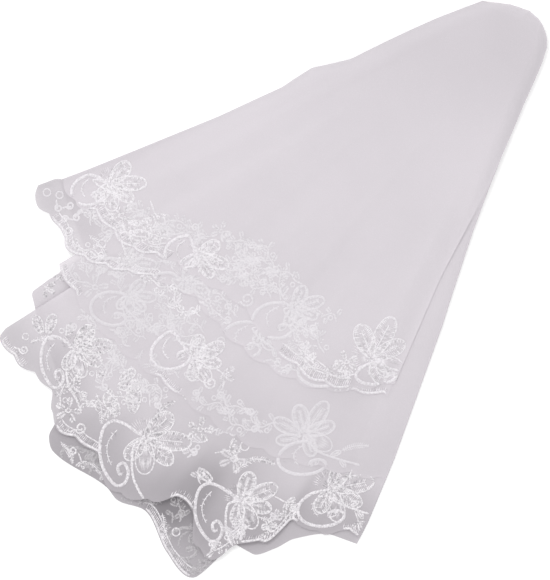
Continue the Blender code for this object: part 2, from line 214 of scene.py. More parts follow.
def curve_between(rows, at, name):
    """One column of a table on a smooth curve through its rows, with no overshoot."""
    rows = sorted(rows)
    places = np.array([row[0] for row in rows], float)
    values = np.array([getattr(row, name) for row in rows], float)
    steps = np.diff(places)
    slopes = np.diff(values) / steps
    same = slopes[:-1] * slopes[1:] > 0
    safe = np.where(same, slopes[:-1] + slopes[1:], 1.0)
    inner = np.where(same, 2 * slopes[:-1] * slopes[1:] / safe, 0.0)
    leans = np.concatenate([slopes[:1], inner, slopes[-1:]])
    at = np.clip(at, places[0], places[-1])
    row = np.clip(np.searchsorted(places, at, side="right") - 1, 0, len(steps) - 1)
    share = (at - places[row]) / steps[row]
    back = 1 - share
    return (values[row] * (1 + 2 * share) * back ** 2 + leans[row] * steps[row] * share * back ** 2
            + values[row + 1] * (3 - 2 * share) * share ** 2 - leans[row + 1] * steps[row] * back * share ** 2)


def ease(value, low, high):
    """Goes smoothly from 0 at low to 1 at high."""
    share = np.clip((value - low) / (high - low), 0.0, 1.0)
    return share * share * (3 - 2 * share)


def quarter_round(distance, reach):
    """The height, from 0 to 1, of a quarter circle at a distance in from its foot."""
    share = np.clip(distance / reach, 0.0, 1.0)
    return np.sqrt(1 - (1 - share) ** 2)


def side_angle(sheet, radius, side):
    """The angle of a sheet's left or right fold at a radius."""
    outer = between(FOLD_EDGES, radius, side)
    inwards = -1 if side == "left" else 1
    inset = sheet.inset
    for tuck in TUCKS:
        if (sheet.name, side) == (tuck.sheet, tuck.side):
            inset = inset + (tuck.inset - inset) * ease(radius, tuck.start, tuck.full)
    near = outer + inwards * np.degrees(inset / radius)
    own = getattr(sheet, side)
    if own is None:
        return near
    return near + (own - near) * ease(radius, SIDES_TOGETHER, SIDES_APART)


def hem_radius(sheet, angle):
    """The scalloped outer edge of a sheet's lace."""
    radius = curve_between(sheet.hem, angle, "radius")
    if sheet is BACK:
        return radius
    along = radius * np.radians(angle)
    return radius + SCALLOP_DEPTH * (np.abs(np.sin(np.pi * along / SCALLOP_LENGTH)) - 0.6)


def seam_radius(sheet, angle):
    """Where tulle and lace meet: the lace's width in from the hem, and smoother."""
    spread = [between(sheet.hem, angle + step, "radius") for step in range(-4, 5)]
    return sum(spread) / len(spread) - LACE_WIDTH


def height(sheet, radius, angle):
    """The height of a sheet's upper face over the surface that the veil lies on."""
    if sheet is BACK:
        return np.full_like(radius, CLOTH)
    left, right = between(FOLD_EDGES, radius, "left"), between(FOLD_EDGES, radius, "right")
    from_side = radius * np.radians(np.minimum(left - angle, angle - right))
    tip = between(TIP, angle, "radius")
    lift = quarter_round(from_side, EDGE_ROUND) * quarter_round(radius - tip, TIP_ROUND)
    step = between(STACK, radius, "step")
    rise = between(STACK, radius, "core") + sheet.level * step
    for lower in SHEETS[2:2 + sheet.level]:
        to_left = radius * np.radians(side_angle(lower, radius, "left") - angle)
        to_right = radius * np.radians(angle - side_angle(lower, radius, "right"))
        edge = np.minimum(np.minimum(to_left, to_right), hem_radius(lower, angle) - radius)
        rise = rise - (step - DROOP_GAP) * (1 - ease(edge, 0.0, DROOP_WIDTH)) * ease(radius, *DROOP_RADII)
    for ridge in RIDGES:
        middle = ridge.angle + ridge.drift * (radius - ridge.full) / 1000
        off = np.clip(np.abs(angle - middle) / ridge.half_width, 0.0, 1.0)
        bulge = 0.5 * (1 + np.cos(np.pi * off))
        rise = rise + ridge.height * bulge * ease(radius, ridge.start, ridge.full)
    if sheet.level >= 2:
        rise = rise - SINK_DEPTH * ease(angle, SINK_FROM, SINK_TO) * ease(radius, *SINK_RADII)
    return FLOOR_LAYER + CLOTH + lift * np.maximum(rise, 0.3 + 0.5 * sheet.level)


def plan(radius, angle):
    """The place in plan of a radius and an angle."""
    turn = np.radians(angle)
    return FAN_X - radius * np.sin(turn), FAN_Y - radius * np.cos(turn)


def fan_place(x, y):
    """The radius and angle of a place in plan."""
    across, down = FAN_X - x, FAN_Y - y
    return np.hypot(across, down), np.degrees(np.arctan2(across, down))


def new_mesh(name, points, faces, material, smooth=True):
    """An object of points in millimetres, riding on the frame, with its material and slot."""
    mesh = bpy.data.meshes.new(name)
    mesh.from_pydata((np.asarray(points) * MM).tolist(), [], faces)
    mesh.validate()
    mesh.polygons.foreach_set("use_smooth", [smooth] * len(mesh.polygons))
    piece = bpy.data.objects.new(name, mesh)
    piece.data.materials.append(material)
    bpy.context.scene.collection.objects.link(piece)
    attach(piece, "root")
    return piece


def grid_faces(rows, columns):
    """The quads of a grid of points that is stored row by row, facing up."""
    faces = []
    for row in range(rows - 1):
        start = row * columns
        for column in range(columns - 1):
            corner = start + column
            faces.append((corner, corner + columns, corner + columns + 1, corner + 1))
    return faces


def edge_shares(width, step, rounded):
    """Shares of a width, closer together where its ends are rounded."""
    ends = [0.0, 0.02, 0.06, 0.12, 0.22, 0.36, 0.52, 0.75, 1.0]
    count = max(4, round((width - 2 * rounded) / step))
    middle = [rounded + (width - 2 * rounded) * number / count for number in range(1, count)]
    low = [rounded * end for end in ends]
    return np.array(low + middle + [width - end for end in reversed(low)]) / width


def tone_at(sheet, radii, angles):
    """How light the cloth is painted at places on a sheet: from its tulle's value to its lace's at the hem, with
    painted shade at the left folds and the painted shade and light of the spots.
    """
    tone = TONES_AND_SHADE[sheet.name]
    share = ease(radii - hem_radius(sheet, angles), -0.8 * LACE_WIDTH, -0.05 * LACE_WIDTH)
    if sheet is BACK:
        share = ease(angles, *BACK_SHADE_SIDE) * ease(radii, *BACK_SHADE_RADII) * (1 - 0.6 * ease(angles, *BACK_SHADE_LEFT))
    light = tone.tulle + (tone.lace - tone.tulle) * share
    x, y = plan(radii, angles)
    from_fold = np.clip(radii * np.radians(between(FOLD_EDGES, radii, "left") - angles), 0, None)
    light = light - FOLD_SHADE * np.exp(-from_fold / FOLD_REACH)
    for spot in LIGHT_AND_SHADE_SPOTS:
        if spot.sheet in ("any", sheet.name):
            away = np.hypot(x - spot.x, y - spot.y) / spot.reach
            light = light + spot.amount * np.exp(-away * away)
    return light


def laid_sheet(name, sheet, radii, angles, material, lying=1.0):
    """A thin sheet of cloth through a grid of radii and angles, with its colour value and painted shade kept point by
    point.
    """
    x, y = plan(radii, angles)
    z = height(sheet, radii, angles)
    if lying < 1:
        low = FLOOR_LAYER + CLOTH
        z = low + lying * (z - low)
    points = np.stack([x, y, z], axis=-1).reshape(-1, 3)
    piece = new_mesh(name, points, grid_faces(*radii.shape), material)
    tone = piece.data.attributes.new("tone", "FLOAT", "POINT")
    tone.data.foreach_set("value", tone_at(sheet, radii, angles).ravel().astype(np.float32))
    return piece


def tulle_grid(sheet, step=4.5):
    """Radii and angles from the sheet's tip to its seam."""
    inner = 69.5 + sheet.inset
    outer = between(sheet.hem, 44.0, "radius") - LACE_WIDTH
    tip_steps = np.array([0.0, 0.3, 1.0, 2.2, 3.8, 6.0, 8.8, 12.5, TIP_ROUND])
    count = round((outer - inner) / step)
    tips = np.concatenate([tip_steps, np.full(count, TIP_ROUND)])
    shares = np.concatenate([np.zeros(len(tip_steps)), np.arange(1, count + 1) / count])
    sides = {}
    for side in ("right", "left"):
        angle = side_angle(sheet, outer, side)
        for _ in range(3):
            start = between(TIP, angle, "radius") + sheet.inset + tips
            angle = side_angle(sheet, start + shares * (seam_radius(sheet, angle) - start), side)
        sides[side] = angle[:, None]
    across = edge_shares(outer * np.radians(40), step, EDGE_ROUND)
    angles = sides["right"] + (sides["left"] - sides["right"]) * across[None, :]
    start = between(TIP, angles, "radius") + sheet.inset + tips[:, None]
    return start + shares[:, None] * (seam_radius(sheet, angles) - start), angles


def lace_grid(sheet, step=3.0):
    """Radii and angles from the sheet's seam to its hem."""
    shares = np.linspace(0, 1, round(LACE_WIDTH / step) + 1)
    sides = {}
    for side in ("right", "left"):
        angle = side_angle(sheet, between(sheet.hem, 44.0, "radius"), side)
        start, end = seam_radius(sheet, angle), hem_radius(sheet, angle)
        sides[side] = side_angle(sheet, start + shares * (end - start), side)
    right, left = sides["right"], sides["left"]
    width = between(sheet.hem, 44.0, "radius") * np.radians(left[-1] - right[-1])
    across = edge_shares(width, 2.4, EDGE_ROUND)
    angles = right[:, None] + (left - right)[:, None] * across[None, :]
    start, end = seam_radius(sheet, angles), hem_radius(sheet, angles)
    return start + shares[:, None] * (end - start), angles


def smooth_path(points, step):
    """Places at equal steps along a smooth curve through points in plan."""
    points = np.array(points, float)
    ends = np.vstack([2 * points[0] - points[1], points, 2 * points[-1] - points[-2]])
    share = np.linspace(0, 1, 12, endpoint=False)[:, None]
    curve = []
    for a, b, c, d in zip(ends, ends[1:], ends[2:], ends[3:]):
        curve.append(0.5 * (2 * b + (c - a) * share + (2 * a - 5 * b + 4 * c - d) * share ** 2
                            + (3 * b - a - 3 * c + d) * share ** 3))
    curve = np.vstack(curve + [points[-1:]])
    lengths = np.concatenate([[0], np.cumsum(np.hypot(*np.diff(curve, axis=0).T))])
    even = np.linspace(0, lengths[-1], max(2, round(lengths[-1] / step) + 1))
    return np.stack([np.interp(even, lengths, curve[:, 0]), np.interp(even, lengths, curve[:, 1])], axis=1)


class Stitches:
    """The threads of one layer's embroidery, gathered in plan and then laid on the cloth."""

    SECTION = np.array([(-1.0, 0.0), (-0.62, 0.8), (0.62, 0.8), (1.0, 0.0)])

    def __init__(self, sheet, relief=1.0):
        self.sheet = sheet
        self.relief = relief
        self.points = []
        self.shades = []
        self.faces = []
        self.count = 0

    def inside(self, places):
        """Whether each place in plan is on the layer's lace, a little inside its hem and folds."""
        radius, angle = fan_place(places[:, 0], places[:, 1])
        right, left = side_angle(self.sheet, radius, "right"), side_angle(self.sheet, radius, "left")
        clear = np.degrees(1.2 / radius)
        return ((radius < hem_radius(self.sheet, angle) - 0.8) & (angle > right + clear)
                & (angle < left - clear))

    def add(self, points, faces, shade):
        """Adds points, in plan and over the cloth, the faces between them, and the thread's painted sheen, how bright
        it lies.
        """
        self.points.append(points)
        self.shades.append(np.full(len(points), shade))
        self.faces += [tuple(self.count + corner for corner in face) for face in faces]
        self.count += len(points)

    def cord(self, path, radius, tall=0.8, twist=0.15, step=1.6):
        """A thread cord along a path, cut where it would leave the cloth."""
        path = smooth_path(path, step)
        kept = self.inside(path)
        runs = np.split(np.arange(len(path)), np.flatnonzero(np.diff(kept.astype(int))) + 1)
        for run in runs:
            if not kept[run[0]] or len(run) < 3:
                continue
            line = path[run]
            along = np.gradient(line, axis=0)
            along /= np.maximum(np.hypot(along[:, 0], along[:, 1]), 1e-6)[:, None]
            side = np.stack([-along[:, 1], along[:, 0]], axis=1)
            count = len(line)
            taper = np.clip(np.minimum(np.arange(count), np.arange(count)[::-1]) / 2 + 0.45, 0, 1)
            width = radius * taper * (1 + twist * np.cos(np.arange(count) * 2.4))
            rings = []
            for across, up in self.SECTION:
                plan_points = line + side * (across * width)[:, None]
                rings.append(np.column_stack([plan_points, up * tall * width]))
            points = np.stack(rings, axis=1).reshape(-1, 3)
            size = len(self.SECTION)
            faces = []
            for ring in range(count - 1):
                for corner in range(size):
                    following = (corner + 1) % size
                    faces.append((ring * size + corner, ring * size + following,
                                  (ring + 1) * size + following, (ring + 1) * size + corner))
            faces.append(tuple(range(size - 1, -1, -1)))
            faces.append(tuple((count - 1) * size + corner for corner in range(size)))
            # A cord's painted sheen is one middle value all along it
            self.add(points, faces, 0.62)

    def satin(self, path, radius, pitch=1.7):
        """A cord wrapped in slanted satin stitches."""
        self.cord(path, 0.9 * radius, tall=0.7, twist=0.0, step=2.4)
        line = smooth_path(path, pitch)
        along = np.gradient(line, axis=0)
        along /= np.maximum(np.hypot(along[:, 0], along[:, 1]), 1e-6)[:, None]
        side = np.stack([-along[:, 1], along[:, 0]], axis=1)
        for place, ahead, out in zip(line, along, side):
            reach = radius * (1.15 * out + 0.45 * ahead)
            self.thread(place - reach, place + reach, width=1.25, tall=0.95 * radius, even=True)

    def thread(self, start, end, width=0.9, tall=0.7, even=False):
        """One straight stitch, thickest in its middle; each stitch gets a painted sheen, lighter or darker at random,
        as stitches at all slants shine or don't.
        """
        start, end = np.array(start, float), np.array(end, float)
        middle = 0.5 * (start + end)
        if not self.inside(np.array([start, middle, end])).all():
            return
        along = end - start
        length = max(1e-6, math.hypot(*along))
        side = np.array([-along[1], along[0]]) / length * width * 0.5
        points = np.array([
            (*start, 0.0), (*end, 0.0), (*(middle - side), 0.1), (*(middle + side), 0.1), (*middle, tall),
        ])
        faces = [(0, 4, 2), (0, 3, 4), (1, 2, 4), (1, 4, 3), (0, 2, 3), (1, 3, 2)]
        painted_sheen = math.sin(self.count * 12.9898) * 43758.5453 % 1.0
        self.add(points, faces, 0.55 + 0.45 * painted_sheen if even else 0.2 + 0.8 * painted_sheen)

    def finish(self, name, material, slot):
        """Lays what was gathered on its cloth, as one piece."""
        points = np.vstack(self.points)
        radius, angle = fan_place(points[:, 0], points[:, 1])
        cloth = height(self.sheet, radius, angle)
        points[:, 2] = cloth + 0.05 + self.relief * points[:, 2]
        piece = new_mesh(name, points, self.faces, material)
        piece.data.set_sharp_from_angle(angle=math.radians(75))
        shade = piece.data.attributes.new("shade", "FLOAT", "POINT")
        shade.data.foreach_set("value", 0.5 * np.concatenate(self.shades).astype(np.float32))
        return piece


class Placed:
    """A motif's own axes in plan: x along the hem, y away from it, turned clockwise and scaled."""

    def __init__(self, stitches, x, y, turn=0.0, wide=1.0, tall=1.0):
        self.stitches = stitches
        self.middle = np.array([x, y])
        turn = math.radians(-turn)
        self.along = np.array([math.cos(turn), math.sin(turn)]) * wide
        self.away = np.array([-math.sin(turn), math.cos(turn)]) * tall

    def at(self, points):
        """The motif's points, in plan."""
        points = np.atleast_2d(np.array(points, float))
        return self.middle + points[:, :1] * self.along + points[:, 1:] * self.away

    def cord(self, points, radius, **shape):
        self.stitches.cord(self.at(points), radius, **shape)

    def satin(self, points, radius, **shape):
        self.stitches.satin(self.at(points), radius, **shape)

    def thread(self, start, end, **shape):
        start, end = self.at([start, end])
        self.stitches.thread(start, end, **shape)


# The scroll of a motif, in millimetres about its middle, and what hangs on it
SCROLLS = {
    "round": [(8, 27), (-11, 22), (-25, 10), (-29, -5), (-22, -18), (-6, -25), (12, -24), (25, -17), (29, -9),
              (23, -3), (13, -4), (8, -9)],
    "narrow": [(15, 26), (-2, 29), (-15, 22), (-20, 6), (-18, -8), (-10, -20), (2, -29), (14, -27), (19, -17),
               (13, -9), (5, -12), (7, -19), (12, -18)],
}
DROP = (10, -10)
SPRIG = [(4, 21), (-5, 14), (-10, 6), (-9, -3), (-4, -11)]
STEM = [(12, 27), (12, 19), (18, 11), (30, 4), (50, -4), (70, -11)]
FOOT = [(28, 8), (24, -8), (26, -22), (33, -33), (42, -43), (50, -56)]
SCROLL_CORD = 2.1
FINE_CORD = 0.9
Petal = namedtuple("Petal", "direction length width style")
PETALS = [
    Petal(-26, 22, 18, "comb"),
    Petal(25, 35, 20, "lash"),
    Petal(74, 45, 19, "vein"),
    Petal(112, 36, 17, "lash"),
    Petal(160, 35, 19, "rays"),
    Petal(202, 28, 16, "lash"),
]
LEAVES = [Petal(60, 15, 7, "vein"), Petal(150, 13, 6, "vein")]


def petal_outline(petal, x, y, shares):
    """A rounded petal from a point outwards."""
    turn = math.radians(petal.direction)
    rows = []
    for share in shares:
        around = 2 * math.pi * share
        along = petal.length * (0.5 - 0.5 * math.cos(around))
        across = 0.5 * petal.width * math.sin(around) * (0.75 + 0.4 * along / petal.length)
        rows.append((x + along * math.sin(turn) + across * math.cos(turn),
                     y + along * math.cos(turn) - across * math.sin(turn)))
    return rows


def stitch_petal(placed, petal, x=0.0, y=0.0):
    """A petal: corded round with lashes or a branching vein inside, solid rays, or an open comb."""
    turn = math.radians(petal.direction)
    along = np.array([math.sin(turn), math.cos(turn)])
    across = np.array([math.cos(turn), -math.sin(turn)])
    heart = np.array([x, y])
    if petal.style == "comb":
        for share in np.linspace(-1, 1, 15):
            lean = share * 0.95
            out = along * math.cos(lean) + across * math.sin(lean)
            foot = heart + out * petal.length * 0.55
            placed.thread(foot, heart + out * petal.length * (1 - 0.12 * share * share), width=1.1)
            placed.thread(heart + out * petal.length * 0.2, foot - out, width=1.2)
        return
    outline = petal_outline(petal, x, y, np.linspace(0.03, 0.97, 16))
    placed.cord(outline, FINE_CORD * min(1.0, 0.55 + petal.width / 40), tall=0.9)
    if petal.style == "rays":
        count = max(5, round(petal.width / 1.7))
        for share in np.linspace(-0.85, 0.85, count):
            reach = petal.length * (0.93 - 0.3 * share * share)
            start = heart + along * petal.length * 0.12 + across * share * petal.width * 0.12
            middle = heart + along * reach * 0.55 + across * share * petal.width * 0.4
            placed.thread(start, middle, width=1.3)
            placed.thread(middle, heart + along * reach + across * share * petal.width * 0.42, width=1.3)
        return
    line = smooth_path(outline, 1.8)
    for foot in line:
        out = float(np.dot(foot - heart, along))
        if out < petal.length * 0.16:
            continue
        inwards = heart + along * max(0.0, out - 3.5)
        gap = inwards - foot
        if math.hypot(*gap) > 2.0:
            placed.thread(foot - 0.12 * gap, foot + (0.62 if petal.style == "lash" else 0.46) * gap, width=1.6)
    placed.cord([heart + along * 2, heart + along * petal.length * 0.45, heart + along * petal.length * 0.82],
                0.75, twist=0.25)
    steps = max(4, round(petal.length / 2.2))
    for number in range(1, steps):
        foot = heart + along * petal.length * 0.82 * number / steps
        for side in (-1, 1):
            reach = petal.width * (0.17 if petal.style == "lash" else 0.24)
            placed.thread(foot, foot + along * 2.2 + across * side * reach, width=1.3)


def stitch_flower(placed, petals):
    """A flower of petals about a close heart of short stitches."""
    for petal in petals:
        stitch_petal(placed, petal)
    for number in range(14):
        turn = number * 2.4
        foot = np.array([math.cos(turn), math.sin(turn)]) * (0.8 + 0.28 * number)
        placed.thread(foot, foot * 1.0 + 3.2 * np.array([math.cos(turn + 0.6), math.sin(turn + 0.6)]), width=1.3)


def stitch_satin_leaf(placed, x, y, direction, length, width):
    """A solid leaf of slanted satin stitches to both sides of its vein."""
    turn = math.radians(direction)
    along = np.array([math.sin(turn), math.cos(turn)])
    across = np.array([math.cos(turn), -math.sin(turn)])
    steps = max(4, round(length / 1.9))
    for number in range(steps):
        foot = np.array([x, y]) + along * length * number / steps
        size = 0.5 * width * math.sin(math.pi * (0.14 + 0.8 * number / steps))
        for side in (-1, 1):
            placed.thread(foot, foot + size * (side * across + 0.9 * along), width=1.7)


def stitch_blossom(placed, petals=5, length=13.0):
    """A small solid blossom about a ring."""
    for number in range(petals):
        direction = number * 360 / petals + 12 * (number % 2)
        turn = math.radians(direction)
        stitch_satin_leaf(placed, 2.5 * math.sin(turn), 2.5 * math.cos(turn), direction, length, 8.5)
    stitch_ring(placed, 2.4)


def stitch_ring(placed, size=4.5):
    """A small corded ring."""
    turn = np.linspace(0, 2 * np.pi, 14)
    placed.cord(list(zip(size * np.cos(turn), size * np.sin(turn))), 0.85)


def stitch_curl(placed, size=7.5):
    """A small corded curl of one and a half turns, with a tail."""
    along = np.linspace(0, 1, 24)
    turn = np.radians(200 + along * 520)
    reach = size * (1 - 0.72 * along)
    rows = [(-size * 2.2, -size * 0.5), (-size * 1.6, -size * 0.6)]
    placed.cord(rows + list(zip(reach * np.cos(turn), reach * np.sin(turn))), 1.15)


def stitch_fern(placed, length=34.0, branch=6.5):
    """A curved stem, feathered closely on both sides."""
    stem = [(0, 0), (2, length * 0.35), (6, length * 0.7), (13, length)]
    placed.cord(stem, 0.7)
    line = smooth_path(stem, 2.6)
    for number in range(1, len(line) - 1):
        along = line[number + 1] - line[number - 1]
        along /= max(1e-6, math.hypot(*along))
        across = np.array([-along[1], along[0]])
        size = branch * math.sin(math.pi * (0.15 + 0.8 * number / len(line)))
        for side in (-1, 1):
            placed.thread(line[number], line[number] + size * (0.75 * side * across + 0.55 * along), width=1.4)


def stitch_leaf(placed):
    """One corded leaf, veined."""
    stitch_petal(placed, Petal(0, 30, 15, "vein"))


def stitch_spray(placed):
    """Three solid leaves on a short stem."""
    placed.cord([(-14, -8), (-6, -3), (0, 0)], 0.9)
    for direction in (5, 65, 125):
        stitch_satin_leaf(placed, 0.0, 0.0, direction, 14.0, 7.5)


def stitch_vine(stitches, vine, taken):
    """A waving stem at a distance in from the hem, with solid leaves in turn, rings and short curls."""
    sheet = stitches.sheet
    middle = between(sheet.hem, 0.5 * (vine.low + vine.high), "radius") - vine.deep
    count = max(8, round(middle * math.radians(vine.high - vine.low) / 4.0))
    angles = np.linspace(vine.low, vine.high, count)
    along = middle * np.radians(angles)
    radii = (hem_radius(sheet, angles) - vine.deep + vine.wave * np.sin(2 * np.pi * along / vine.length)
             + 0.3 * vine.wave * np.sin(2 * np.pi * along / (0.37 * vine.length) + vine.deep))
    path = smooth_path(np.stack(plan(radii, angles), axis=1), 4.2)
    free = np.array([all(math.hypot(*(place - spot[:2])) > spot[2] for spot in taken) for place in path])
    runs = np.split(np.arange(len(path)), np.flatnonzero(np.diff(free.astype(int))) + 1)
    for run in runs:
        if not free[run[0]] or len(run) < 4:
            continue
        line = path[run]
        stitches.cord(line, 0.85)
        for number in range(1, len(line) - 1):
            ahead = line[number + 1] - line[number - 1]
            heading = math.degrees(math.atan2(ahead[0], ahead[1]))
            side = 1 if number % 2 else -1
            spot = Placed(stitches, *line[number])
            kind = (number * 7 + round(vine.deep)) % 11
            if kind == 3:
                out = math.radians(heading + side * 90)
                stitch_ring(Placed(stitches, *(line[number] + 5.5 * np.array([math.sin(out), math.cos(out)]))), 2.6)
            elif kind == 8:
                stitch_curl(Placed(stitches, *line[number], turn=heading + side * 60), 4.6)
            else:
                size = 10.5 + 2.5 * math.sin(number * 1.7)
                stitch_satin_leaf(spot, 0.0, 0.0, heading + side * 52, size, 6.2)


def stitch_thorns(placed, points, branch=4.2):
    """A fine stem with short stitches to either side in turn."""
    placed.cord(points, 0.7)
    line = smooth_path(points, 3.4)
    for number in range(1, len(line) - 1):
        along = line[number + 1] - line[number - 1]
        along /= max(1e-6, math.hypot(*along))
        side = np.array([-along[1], along[0]]) * (1 if number % 2 else -1)
        placed.thread(line[number], line[number] + branch * (0.8 * side + 0.45 * along), width=1.2)


def stitch_motif(kind, scroll, flower):
    """One repeat of the border: the scroll out of the flower, its drop and thorns, and the stem that leads on."""
    start = flower.middle
    wind = scroll.at(SCROLLS[kind])
    scroll.stitches.satin(np.vstack([start, 0.55 * start + 0.45 * wind[0], wind]), SCROLL_CORD)
    stitch_thorns(scroll, SPRIG)
    stitch_flower(flower, PETALS)
    if kind == "narrow":
        scroll.stitches.cord(np.vstack([start, scroll.at(FOOT)]), 1.5)
        return
    stitch_petal(scroll, Petal(55, 14, 8, "rays"), DROP[0] - 2, DROP[1] - 2)
    stem = scroll.at(STEM[1:])
    scroll.stitches.cord(np.vstack([start, stem]), 1.3)
    for leaf, place in zip(LEAVES, ((34, 3), (46, -3))):
        stitch_petal(scroll, leaf, *place)


def comb_hem(stitches, low, high, deep=8.0, pitch=2.2):
    """Satin teeth between two cords along the hem, between two angles."""
    sheet = stitches.sheet
    middle = 0.5 * (low + high)
    steps = max(2, round(between(sheet.hem, middle, "radius") * math.radians(high - low) / pitch))
    angles = np.linspace(low, high, steps + 1)
    edge = hem_radius(sheet, angles) - 2.6
    outer = np.stack(plan(edge, angles), axis=1)
    wave = 0.75 + 0.25 * np.abs(np.sin(np.radians(angles) * edge * np.pi / SCALLOP_LENGTH))
    inner = np.stack(plan(edge - deep * wave, angles + np.degrees(1.0 / edge)), axis=1)
    for start, end in zip(inner, outer):
        stitches.thread(start, end, width=1.35, tall=0.9)
    stitches.satin(outer, 1.5)
    if deep > 8:
        stitches.cord(inner, 0.8)


def node(tree, kind, **values):
    """A shader node with its properties and unlinked inputs set."""
    made = tree.nodes.new(kind)
    for name, value in values.items():
        if name in made.inputs:
            made.inputs[name].default_value = value
        else:
            setattr(made, name, value)
    return made


def shader_of(material):
    return material.node_tree.nodes["Principled BSDF"]


def net_material(name, light, grey, alpha, cell):
    """Sheer net: its tint goes by the cloth's value and painted shade and light, kept on its points, with fine cells
    and faint, soft clouding.
    """
    material = bpy.data.materials.new(name)
    material.use_nodes = True
    tree = material.node_tree
    shader = shader_of(material)
    shader.inputs["Roughness"].default_value = 0.82
    shader.inputs["Specular IOR Level"].default_value = 0.25
    shader.inputs["Sheen Weight"].default_value = 0.12
    shader.inputs["Sheen Roughness"].default_value = 0.5
    shader.inputs["Alpha"].default_value = alpha
    place = node(tree, "ShaderNodeTexCoord")
    cells = node(tree, "ShaderNodeTexVoronoi", feature="DISTANCE_TO_EDGE")
    cells.inputs["Scale"].default_value = 1000 / cell
    clouds = node(tree, "ShaderNodeTexNoise")
    clouds.inputs["Scale"].default_value = 9.0
    clouds.inputs["Detail"].default_value = 3.0
    tone = node(tree, "ShaderNodeAttribute", attribute_name="tone")
    add = node(tree, "ShaderNodeMath", operation="MULTIPLY_ADD")
    add.inputs[1].default_value = 0.10
    ramp = node(tree, "ShaderNodeValToRGB")
    ramp.color_ramp.elements[0].position = 0.05
    ramp.color_ramp.elements[0].color = (*grey, 1)
    ramp.color_ramp.elements[1].position = 1.0
    ramp.color_ramp.elements[1].color = (*light, 1)
    thin = node(tree, "ShaderNodeMapRange")
    thin.inputs["From Max"].default_value = 0.12
    thin.inputs["To Min"].default_value = 1.03
    thin.inputs["To Max"].default_value = 0.97
    shade = node(tree, "ShaderNodeMix", data_type="RGBA", blend_type="MULTIPLY")
    shade.inputs["Factor"].default_value = 1.0
    bump = node(tree, "ShaderNodeBump")
    bump.inputs["Strength"].default_value = 0.25
    bump.inputs["Distance"].default_value = 0.0003
    link = tree.links.new
    link(place.outputs["Object"], cells.inputs["Vector"])
    link(place.outputs["Object"], clouds.inputs["Vector"])
    link(clouds.outputs["Fac"], add.inputs[0])
    link(tone.outputs["Fac"], add.inputs[2])
    link(add.outputs["Value"], ramp.inputs["Fac"])
    link(cells.outputs["Distance"], thin.inputs["Value"])
    link(ramp.outputs["Color"], shade.inputs["A"])
    link(thin.outputs["Result"], shade.inputs["B"])
    link(shade.outputs["Result"], shader.inputs["Base Color"])
    link(cells.outputs["Distance"], bump.inputs["Height"])
    link(bump.outputs["Normal"], shader.inputs["Normal"])
    return material


def thread_material(name, light, dark):
    """Satin thread: glossy strands a fraction of a millimetre wide; its colour runs from dark to light by each
    stitch's painted sheen and a fine noise of painted shade between strands.
    """
    material = bpy.data.materials.new(name)
    material.use_nodes = True
    tree = material.node_tree
    shader = shader_of(material)
    shader.inputs["Roughness"].default_value = 0.42
    shader.inputs["Sheen Weight"].default_value = 0.2
    shader.inputs["Specular IOR Level"].default_value = 0.45
    place = node(tree, "ShaderNodeTexCoord")
    strands = node(tree, "ShaderNodeTexNoise")
    strands.inputs["Scale"].default_value = 480.0
    strands.inputs["Detail"].default_value = 2.0
    shade = node(tree, "ShaderNodeAttribute", attribute_name="shade")
    mix = node(tree, "ShaderNodeMath", operation="MULTIPLY_ADD")
    mix.inputs[1].default_value = 0.8
    ramp = node(tree, "ShaderNodeValToRGB")
    ramp.color_ramp.elements[0].position = 0.42
    ramp.color_ramp.elements[0].color = (*dark, 1)
    ramp.color_ramp.elements[1].position = 0.82
    ramp.color_ramp.elements[1].color = (*light, 1)
    bump = node(tree, "ShaderNodeBump")
    bump.inputs["Strength"].default_value = 0.3
    bump.inputs["Distance"].default_value = 0.0004
    link = tree.links.new
    link(place.outputs["Object"], strands.inputs["Vector"])
    link(strands.outputs["Fac"], mix.inputs[0])
    link(shade.outputs["Fac"], mix.inputs[2])
    link(mix.outputs["Value"], ramp.inputs["Fac"])
    link(ramp.outputs["Color"], shader.inputs["Base Color"])
    link(strands.outputs["Fac"], bump.inputs["Height"])
    link(bump.outputs["Normal"], shader.inputs["Normal"])
    return material


tulle = net_material("tulle_net", (0.93, 0.88, 0.928), (0.28, 0.262, 0.282), 0.86, 1.1)
inner_tulle = net_material("inner_tulle", (0.93, 0.88, 0.928), (0.28, 0.262, 0.282), 1.0, 1.1)
lace_net = net_material("lace_net", (0.93, 0.88, 0.928), (0.28, 0.262, 0.282), 0.86, 1.4)
back_net = net_material("back_net", (0.93, 0.88, 0.928), (0.28, 0.262, 0.282), 0.96, 1.4)
# The threads' dark colours are painted shade between the stitches, deepest on the front's and back's thread
thread = thread_material("satin_thread", (0.98, 0.95, 0.98), (0.42, 0.40, 0.425))
soft_thread = thread_material("soft_thread", (0.96, 0.93, 0.965), (0.60, 0.575, 0.60))
veiled_thread = thread_material("veiled_thread", (0.84, 0.81, 0.845), (0.68, 0.65, 0.685))
faint_thread = thread_material("faint_thread", (0.81, 0.78, 0.815), (0.70, 0.67, 0.705))
shaded_thread = thread_material("shaded_thread", (0.60, 0.575, 0.60), (0.30, 0.285, 0.30))

def cut_of(sheet, inner, outer):
    """A layer's cut between two distances from the fan's point: its width and length, and its area, in metres."""
    spread = side_angle(sheet, 0.8 * outer, "left") - side_angle(sheet, 0.8 * outer, "right")
    half = math.radians(0.5 * float(spread))
    width, length = 2 * outer * math.sin(half), outer - inner * math.cos(half)
    return (width * MM, length * MM), half * (outer ** 2 - inner ** 2) * MM * MM


def seam_middle(sheet):
    """The tulle's mean radius at its seam with the lace."""
    angles = np.linspace(side_angle(sheet, 560.0, "right"), side_angle(sheet, 560.0, "left"), 15)
    return float(np.mean(seam_radius(sheet, angles)))


